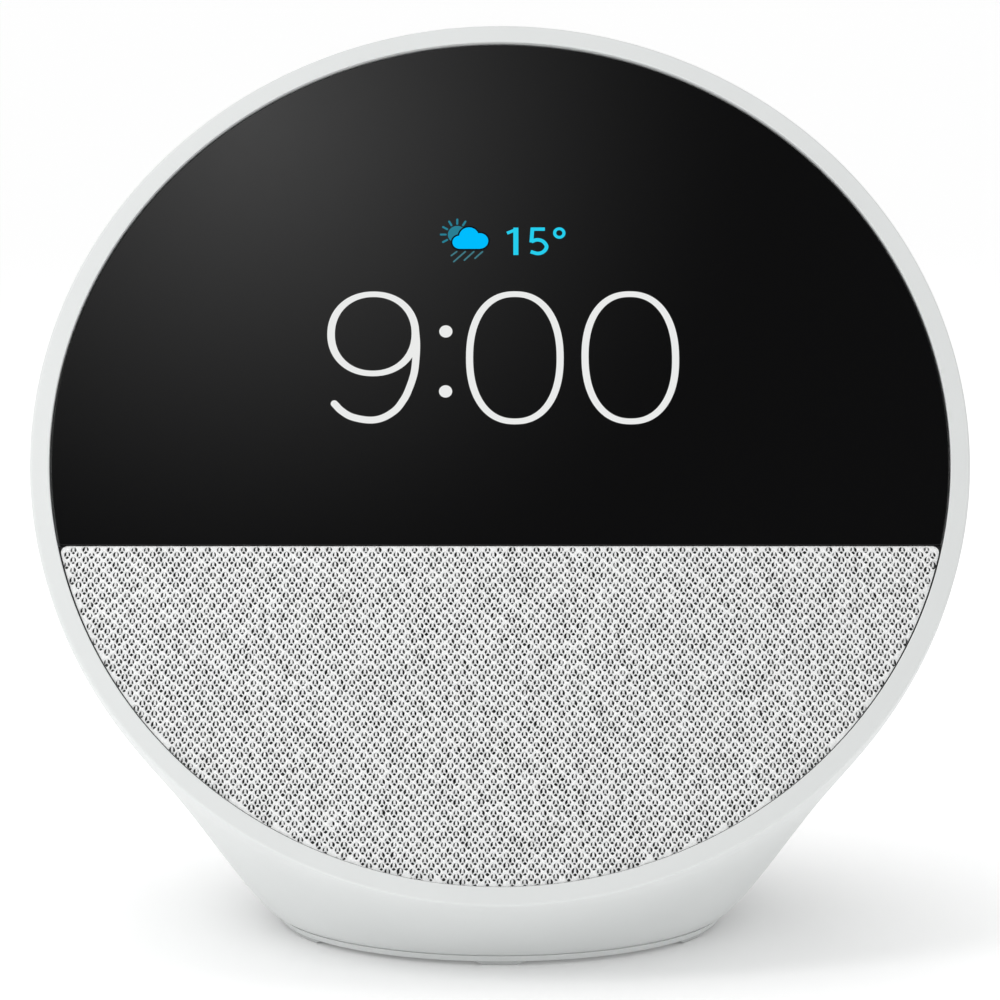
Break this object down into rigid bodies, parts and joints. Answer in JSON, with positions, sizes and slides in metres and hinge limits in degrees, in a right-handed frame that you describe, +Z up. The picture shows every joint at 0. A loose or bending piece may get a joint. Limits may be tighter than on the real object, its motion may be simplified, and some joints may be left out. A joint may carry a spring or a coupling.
{
  "type": "smart display",
  "caption": "Round-faced smart display: a tilted black window above a knitted speaker grille, on a tapered white weighted body with top buttons and a rear power inlet.",
  "frame": {"origin": "on the table, under the middle of the body's width and depth", "axes": "+Z up, the face looks toward -Y and leans back, +X is to the right of a person facing it"},
  "size_m": [0.113, 0.1029, 0.1108],
  "materials": {
    "shell_white": "fine moulded satin",
    "window_glass": "polished, back-printed black",
    "touch_film": "clear film",
    "panel_black": "polarised film",
    "diffuser_white": "diffusing",
    "tray_steel": "tinned sheet",
    "flex_amber": "polyimide film",
    "black_plastic": "moulded",
    "grille_knit": "open warp knit",
    "chassis_grey": "glass-filled moulding",
    "screw_steel": "plated",
    "foam_black": "closed-cell foam",
    "basket_grey": "black-coated pressing",
    "soft_rubber": "matt",
    "foot_grey": "matt pale grey",
    "cone_black": "pressed pulp",
    "coil_copper": "enamelled wire",
    "spider_cloth": "treated cloth",
    "magnet_dark": "sintered",
    "lead_red": "insulated",
    "board_green": "solder mask",
    "connector_cream": "moulded",
    "pad_blue": "soft gap filler",
    "spreader_alu": "extruded",
    "mic_gold": "plated",
    "ballast_steel": "plain plate",
    "icon_grey": "printed mark"
  },
  "bodies": {
    "body": {"rear_housing": "shell_white", "front_ring": "shell_white", "display_glass": "window_glass", "touch_sensor": "touch_film", "display_panel": "panel_black", "backlight_unit": "diffuser_white", "display_frame": "tray_steel", "display_flex": "flex_amber", "light_sensor": "black_plastic", "grille_fabric": "grille_knit", "grille_carrier": "black_plastic", "front_chassis": "chassis_grey", "ring_screws": "screw_steel", "speaker_gasket": "foam_black", "speaker_basket": "basket_grey", "speaker_surround": "soft_rubber", "speaker_spider": "spider_cloth", "speaker_top_plate": "screw_steel", "speaker_magnet": "magnet_dark", "speaker_yoke": "screw_steel", "speaker_screws": "screw_steel", "speaker_baffle": "black_plastic", "speaker_chamber": "black_plastic", "chamber_screws": "screw_steel", "speaker_lead": "lead_red", "main_board": "board_green", "processor_shield": "tray_steel", "radio_shield": "tray_steel", "board_chips": "black_plastic", "board_connectors": "connector_cream", "thermal_pad": "pad_blue", "heat_spreader": "spreader_alu", "board_screws": "screw_steel", "antenna_left": "flex_amber", "antenna_right": "flex_amber", "button_bracket": "chassis_grey", "bracket_screws": "screw_steel", "button_board": "board_green", "switch_bodies": "black_plastic", "microphones": "mic_gold", "mic_boots": "soft_rubber", "button_flex": "flex_amber", "dc_jack": "black_plastic", "jack_pin": "screw_steel", "power_board": "board_green", "power_lead": "lead_red", "ballast_plate": "ballast_steel", "base_plate": "shell_white", "base_foot": "foot_grey", "base_screws": "screw_steel"},
    "volume_down": {"volume_down_button": "shell_white", "plunger_down": "chassis_grey"},
    "mute": {"mute_button": "shell_white", "plunger_mute": "chassis_grey"},
    "volume_up": {"volume_up_button": "shell_white", "plunger_up": "chassis_grey"},
    "cone": {"speaker_cone": "cone_black", "dust_cap": "cone_black", "voice_coil": "coil_copper"}
  },
  "joints": [
    {"name": "volume_down_press", "type": "slide", "parent": "body", "child": "volume_down", "axis": [0, -0.5624, -0.8269], "range_m": [0, 0.0006], "stiffness_N_per_m": 1500, "springref_m": -0.0002},
    {"name": "mute_press", "type": "slide", "parent": "body", "child": "mute", "axis": [0, -0.5624, -0.8269], "range_m": [0, 0.0006], "stiffness_N_per_m": 1500, "springref_m": -0.0002},
    {"name": "volume_up_press", "type": "slide", "parent": "body", "child": "volume_up", "axis": [0, -0.5624, -0.8269], "range_m": [0, 0.0006], "stiffness_N_per_m": 1500, "springref_m": -0.0002},
    {"name": "cone_travel", "type": "slide", "parent": "body", "child": "cone", "axis": [0, -0.891, 0.454], "range_m": [-0.0015, 0.0015], "stiffness_N_per_m": 1200, "deforming": ["speaker_surround", "speaker_spider"]}
  ]
}
